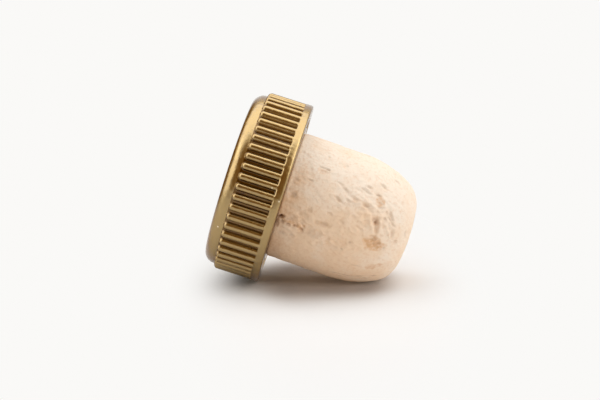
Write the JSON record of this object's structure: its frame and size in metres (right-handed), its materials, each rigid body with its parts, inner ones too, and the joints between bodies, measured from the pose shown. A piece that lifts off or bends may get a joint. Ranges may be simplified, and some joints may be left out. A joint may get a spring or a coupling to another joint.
{
  "type": "bottle stopper",
  "caption": "Bottle stopper with a round gold ribbed cap and a cork shank with a tumbled end.",
  "frame": {"origin": "centre of the cap's flat top face, on which the stopper stands", "axes": "+Z along the stopper's axis from the cap's top towards the cork's free end; +X through the crest of a rib"},
  "size_m": [0.0282, 0.0282, 0.029],
  "materials": {
    "cap_gold": "gold metallised, satin lacquer",
    "cork": "raw natural cork, tumbled"
  },
  "bodies": {
    "root": {"cap": "cap_gold", "cork_shank": "cork"}
  },
  "joints": []
}
